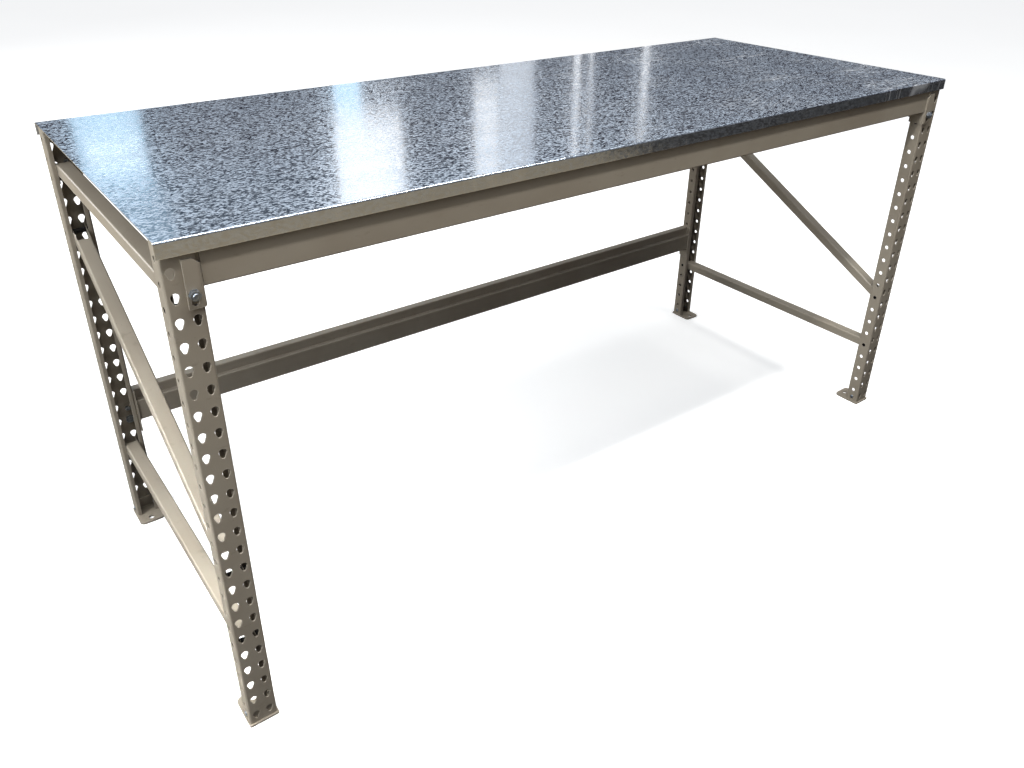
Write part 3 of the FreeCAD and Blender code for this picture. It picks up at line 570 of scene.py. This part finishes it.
def weld_bead(end_x, outer_y, inwards, low_z):
    """Tube points on a grid of steps along the path and sides round it.

    Point = path point + radius * (cos a * across + sin a * along X). The radius swells and shrinks with the
    distance travelled, one ripple after another, and closes to nothing at both ends.
    """
    ahead = np.gradient(path, axis=0)
    ahead /= np.linalg.norm(ahead, axis=1, keepdims=True)
    across = np.stack([ahead[:, 1], -ahead[:, 0]], axis=1)
    ripple = np.abs(np.sin(np.pi * travelled / RIPPLE_LONG))
    to_end = np.minimum(travelled, travelled[-1] - travelled)
    closing = np.sqrt(np.clip(to_end / BEAD_RADIUS, 0, 1))
    radius = BEAD_RADIUS * (1 - RIPPLE_SHARE + RIPPLE_SHARE * ripple) * closing
    angle = np.linspace(0, 2 * np.pi, BEAD_SIDES, endpoint=False)
    sideways = radius[:, None] * np.cos(angle)
    in_section = path[:, None, :] + sideways[:, :, None] * across[:, None, :]
    x = end_x + radius[:, None] * np.sin(angle)
    y = outer_y + inwards * in_section[:, :, 0]
    z = low_z + in_section[:, :, 1]
    return np.stack([x, y, z], axis=-1).reshape(-1, 3)

def tube_faces(first):
    """Four-sided faces between neighbours on the grid, with the last side joined to the first."""
    step, side = np.meshgrid(np.arange(BEAD_STEPS - 1), np.arange(BEAD_SIDES), indexing="ij")
    here, beyond = step * BEAD_SIDES, (step + 1) * BEAD_SIDES
    beside = (side + 1) % BEAD_SIDES
    loops = [here + side, beyond + side, beyond + beside, here + beside]
    return np.stack(loops, axis=-1).reshape(-1, 4) + first

print("points in one bead:", BEAD_STEPS * BEAD_SIDES)

# %% Beads at both ends of each beam
def weld_beads(beam):
    """One mesh with the beads at both ends of a beam, on the side that looks into the bench."""
    low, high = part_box(beam)
    at_front = low.y < 0
    outer_y, inwards = (low.y, 1) if at_front else (high.y, -1)
    points = [weld_bead(end_x, outer_y, inwards, low.z) for end_x in (low.x, high.x)]
    faces = [tube_faces(number * BEAD_STEPS * BEAD_SIDES) for number in range(len(points))]
    mesh = bpy.data.meshes.new(beam + "_welds")
    mesh.from_pydata(np.concatenate(points).tolist(), [], np.concatenate(faces).tolist())
    mesh.polygons.foreach_set("use_smooth", np.ones(len(mesh.polygons), dtype=bool))
    mesh.materials.append(coat_finish)
    bead = bpy.data.objects.new(beam + "_welds", mesh)
    bpy.context.scene.collection.objects.link(bead)
    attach(bead, "root")
    return bead

for beam in ("front_beam", "rear_beam", "lower_rear_beam"):
    bead = weld_beads(beam)
    print(bead.name, "faces:", len(bead.data.polygons))

# %% [markdown]
# The bench stands on a plain pale floor that reaches far enough to fill the picture, because the camera looks
# down and never sees a horizon. Its colour drifts very slightly so that it isn't a dead flat tone.
# A white floor would also light the bench from below, fill every shadow and whiten the sheet's lip. So the
# floor is a thin lit screen that only the camera sees, and a warm grey card under it is what lights and is
# mirrored.

# %% Pale studio floor
FLOOR_REACH = 22.0
FLOOR_PALE = rgb(250, 250, 249)
FLOOR_SHADE = rgb(245, 245, 244)
FLOOR_CLOUDS = Grain(0.7, detail=3)
FLOOR_GRIT = Grain(90, detail=3)
FLOOR_ROUGHNESS = (0.75, 0.9)
FLOOR_GLOW = 0.4
GRIT_DEEP = 0.0002

def level_sheet(name, reach, height, finish):
    """A square with its middle under the bench."""
    corner = np.array([(-1, -1, 0), (1, -1, 0), (1, 1, 0), (-1, 1, 0)]) * reach
    corner[:, 2] = height
    mesh = bpy.data.meshes.new(name)
    mesh.from_pydata(corner.tolist(), [], [(0, 1, 2, 3)])
    mesh.materials.append(finish)
    square = bpy.data.objects.new(name, mesh)
    bpy.context.scene.collection.objects.link(square)
    return square

def pale_floor():
    """White with slight clouds and a low glow of its own."""
    r = Finish("pale_floor")
    clouds = r.noise(FLOOR_CLOUDS)
    white = r.blend(clouds, FLOOR_PALE, FLOOR_SHADE)
    r.shade(Base_Color=white, Roughness=r.ramp(clouds, FLOOR_ROUGHNESS))
    r.shade(Emission_Color=white, Emission_Strength=FLOOR_GLOW)
    r.relief(r.noise(FLOOR_GRIT), GRIT_DEEP)
    return r.material

floor = level_sheet("studio_floor", FLOOR_REACH, 0.0, pale_floor())
floor.visible_diffuse = False
floor.visible_glossy = False
floor.visible_shadow = False
print("floor edge in metres:", FLOOR_REACH * 2)

# %% Warm card under the floor
CARD_WARM = rgb(160, 145, 118)
CARD_DULL = rgb(148, 133, 107)
CARD_DARK = rgb(46, 42, 37)
CARD_CLOUDS = Grain(1.3, detail=3)
CARD_ROUGHNESS = (0.7, 0.9)
CARD_DEEP = 0.001
DARK_RIGHT = (1.75, 2.1)
DARK_NEAR = (1.9, 1.5)

def warm_card():
    """Warm grey with clouds where the sheet's lips mirror it; dark far to the right and near the bench."""
    r = Finish("warm_card")
    clouds = r.noise(CARD_CLOUDS)
    grey = r.blend(clouds, CARD_WARM, CARD_DULL)
    from_bench = r.maths("ABSOLUTE", r.metres("Y"))
    to_right = r.between(r.metres("X"), *DARK_RIGHT)
    dark = r.maths("MAXIMUM", to_right, r.between(from_bench, *DARK_NEAR))
    grey = r.blend(dark, grey, CARD_DARK)
    r.shade(Base_Color=grey, Roughness=r.ramp(clouds, CARD_ROUGHNESS))
    return r.material

card = level_sheet("floor_card", FLOOR_REACH, -CARD_DEEP, warm_card())
print(card.name, "lies under the floor by millimetres:", CARD_DEEP * 1000)

# %% [markdown]
# The camera stands where the photograph was taken. Its place, aim and focal length could be set by eye, but
# they were found by fitting a pinhole camera to the edges of the top, the uprights and the keyhole rows in
# the photograph, so the render can be laid over it. The lens axis isn't quite in the middle of the picture,
# and the camera's shift takes that up.

# %% Camera at the photograph's place
PICTURE_WIDE = 1024
PICTURE_HIGH = 768
SENSOR_MM = 36.0
FOCAL_PIXELS = 850.533
AXIS_PIXEL_X = 518.299
AXIS_PIXEL_Y = 339.549
EYE = (-1.06045, -1.30333, 1.19572)
YAW = 0.650692509
PITCH = 0.492016538
ROLL = 0.0153489241
SIGHT_END = 100

def photo_camera():
    """A camera whose axes come from yaw (right of +Y), pitch (down) and roll, as columns of its matrix."""
    ahead = np.array([np.sin(YAW) * np.cos(PITCH), np.cos(YAW) * np.cos(PITCH), -np.sin(PITCH)])
    level = np.array([np.cos(YAW), -np.sin(YAW), 0.0])
    above = np.cross(level, ahead)
    right = level * np.cos(ROLL) + above * np.sin(ROLL)
    up = above * np.cos(ROLL) - level * np.sin(ROLL)
    lens = bpy.data.cameras.new("photo_camera")
    lens.sensor_fit = "HORIZONTAL"
    lens.sensor_width = SENSOR_MM
    lens.lens = SENSOR_MM * FOCAL_PIXELS / PICTURE_WIDE
    lens.shift_x = (PICTURE_WIDE / 2 - AXIS_PIXEL_X) / PICTURE_WIDE
    lens.shift_y = (AXIS_PIXEL_Y - PICTURE_HIGH / 2) / PICTURE_WIDE
    lens.clip_end = SIGHT_END
    camera = bpy.data.objects.new("photo_camera", lens)
    turned = np.eye(4)
    turned[:3, :3] = np.stack([right, up, -ahead], axis=1)
    turned[:3, 3] = EYE
    camera.matrix_world = Matrix(turned.tolist())
    bpy.context.scene.collection.objects.link(camera)
    bpy.context.scene.camera = camera
    return camera

camera = photo_camera()
bpy.context.scene.view_settings.view_transform = "Standard"
print("focal length in millimetres:", round(camera.data.lens, 2))

# %% [markdown]
# Bare zinc shows what is round it more than it shows itself, so the light is set up in three parts. The sky
# comes first. A picture of a real sky would show in the sheet, so it is only a few tones: dark low down,
# which the sheet mirrors, and bright overhead, which lights the bench.

# %% Sky that is dim low down and bright overhead
SKY_TONES = (
    (0.05, (0.018, 0.016, 0.023, 1.0)),
    (0.34, (0.032, 0.030, 0.044, 1.0)),
    (0.68, (0.14, 0.16, 0.19, 1.0)),
    (0.94, (1.0, 1.0, 1.0, 1.0)),
)
SKY_STRENGTH = 1.4

def studio_sky():
    """Brightness by the direction's height, from 0 at the horizon to 1 overhead, along the listed tones."""
    sky = bpy.data.worlds.new("studio_sky")
    sky.use_nodes = True
    nodes, links = sky.node_tree.nodes, sky.node_tree.links
    direction = nodes.new("ShaderNodeTexCoord")
    split = nodes.new("ShaderNodeSeparateXYZ")
    tones = nodes.new("ShaderNodeValToRGB")
    stops = tones.color_ramp.elements
    while len(stops) < len(SKY_TONES):
        stops.new(1.0)
    for stop, (height, tone) in zip(stops, SKY_TONES):
        stop.position = height
        stop.color = tone
    links.new(direction.outputs["Generated"], split.inputs[0])
    links.new(split.outputs["Z"], tones.inputs[0])
    links.new(tones.outputs[0], nodes["Background"].inputs["Color"])
    nodes["Background"].inputs["Strength"].default_value = SKY_STRENGTH
    bpy.context.scene.world = sky

studio_sky()
print("sky tones:", [round(tone[1], 2) for height, tone in SKY_TONES])

# %% [markdown]
# The lamps come second. Small lamps would give hard shadows, so they are panels. A long narrow one above the
# front edge lights the bench and throws the shadow of the sheet's lip on the beam. A large panel on the left
# and a small one close by light the end frame, most of all its lower brace. One behind the bench lights its
# back, and one in front is there only to be mirrored when the sheet is seen from behind.

# %% Lamps for the bench
WHITE = (1.0, 0.99, 0.97)
COOL_WHITE = (0.94, 0.97, 1.0)

def soft_panel(name, centre, aim, wide, high, glow, colour=WHITE, spread=180.0):
    """A rectangular lamp at centre that faces aim, with its light within a cone of spread degrees.

    Its watts are glow times pi times its area.
    """
    lamp = bpy.data.lights.new(name, "AREA")
    lamp.shape = "RECTANGLE"
    lamp.size = wide
    lamp.size_y = high
    lamp.energy = glow * np.pi * wide * high
    lamp.color = colour
    lamp.spread = np.radians(spread)
    panel = bpy.data.objects.new(name, lamp)
    facing = (Vector(aim) - Vector(centre)).to_track_quat("-Z", "Y").to_matrix().to_4x4()
    panel.matrix_world = Matrix.Translation(centre) @ facing
    bpy.context.scene.collection.objects.link(panel)
    return panel

lamps = [
    soft_panel("long_lamp", centre=(0.0, -1.05, 3.4), aim=(0.0, -0.7, 0.8), wide=3.6, high=0.22,
               glow=48.0),
    soft_panel("left_panel", centre=(-3.6, -0.5, 1.9), aim=(-0.85, 0.0, 0.45), wide=2.0, high=2.0,
               glow=12.0, colour=COOL_WHITE),
    soft_panel("brace_panel", centre=(-1.5, -0.15, 1.15), aim=(-0.82, -0.15, 0.16), wide=0.3, high=0.3,
               glow=3.5, spread=36.0),
    soft_panel("back_panel", centre=(-2.6, 4.5, 2.4), aim=(0.0, 0.33, 0.45), wide=2.4, high=1.6,
               glow=9.0),
    soft_panel("front_mirror", centre=(0.0, -5.5, 2.4), aim=(0.0, 0.0, 0.8), wide=14.0, high=2.4,
               glow=0.4, colour=COOL_WHITE),
]
bpy.data.objects["front_mirror"].visible_diffuse = False
print("lamps:", [lamp.name for lamp in lamps])

# %% [markdown]
# Third come the soft panels beyond the bench, which are there for the sheet to mirror. They could be placed
# by trial, but a flat mirror has a simple rule: what the eye sees in the sheet is what its mirror image below
# the sheet would see. So each panel is placed from there, by the angles at which the photograph shows a pale
# or bright stretch.

# %% Panels for the sheet to mirror
PALE_BLUE = (0.55, 0.82, 1.0)
MIRROR_DISTANCE = 6.0

def mirrored_panel(name, bearings, heights, glow, colour=WHITE):
    """A panel seen in the sheet between two bearings (degrees right of +Y) and two heights (degrees up)."""
    sheet_top = cad_box[1][2]
    below = np.array([EYE[0], EYE[1], 2 * sheet_top - EYE[2]])
    bearing, height = np.radians(np.mean(bearings)), np.radians(np.mean(heights))
    way = np.array([np.sin(bearing) * np.cos(height), np.cos(bearing) * np.cos(height), np.sin(height)])
    wide = 2 * MIRROR_DISTANCE * np.tan(np.radians(np.ptp(bearings)) / 2) * np.cos(height)
    high = 2 * MIRROR_DISTANCE * np.tan(np.radians(np.ptp(heights)) / 2)
    centre = below + MIRROR_DISTANCE * way
    return soft_panel(name, centre.tolist(), below.tolist(), wide, high, glow, colour)

panels = [
    mirrored_panel("blue_room", (4.0, 60.0), (17.0, 48.0), 0.10, PALE_BLUE),
    mirrored_panel("pale_end", (9.2, 13.0), (5.0, 17.0), 1.25, PALE_BLUE),
    mirrored_panel("pale_end_lamp", (9.6, 12.9), (14.4, 15.3), 2.0),
    mirrored_panel("pale_end_high", (8.6, 14.0), (17.0, 42.0), 0.42, PALE_BLUE),
    mirrored_panel("glare_low", (24.9, 26.6), (7.0, 13.6), 1.5, PALE_BLUE),
    mirrored_panel("glare", (24.6, 29.2), (13.6, 24.0), 1.9),
    mirrored_panel("second_glare", (34.0, 35.6), (11.5, 20.0), 1.5),
    mirrored_panel("second_pale", (35.7, 38.0), (7.0, 20.0), 0.85, COOL_WHITE),
    mirrored_panel("strip_one", (40.6, 40.95), (6.0, 19.0), 1.8),
    mirrored_panel("strip_two", (41.6, 41.8), (6.0, 19.0), 1.5),
    mirrored_panel("strip_three", (45.0, 45.4), (6.0, 19.0), 1.5),
]
print("panels:", [panel.name for panel in panels])
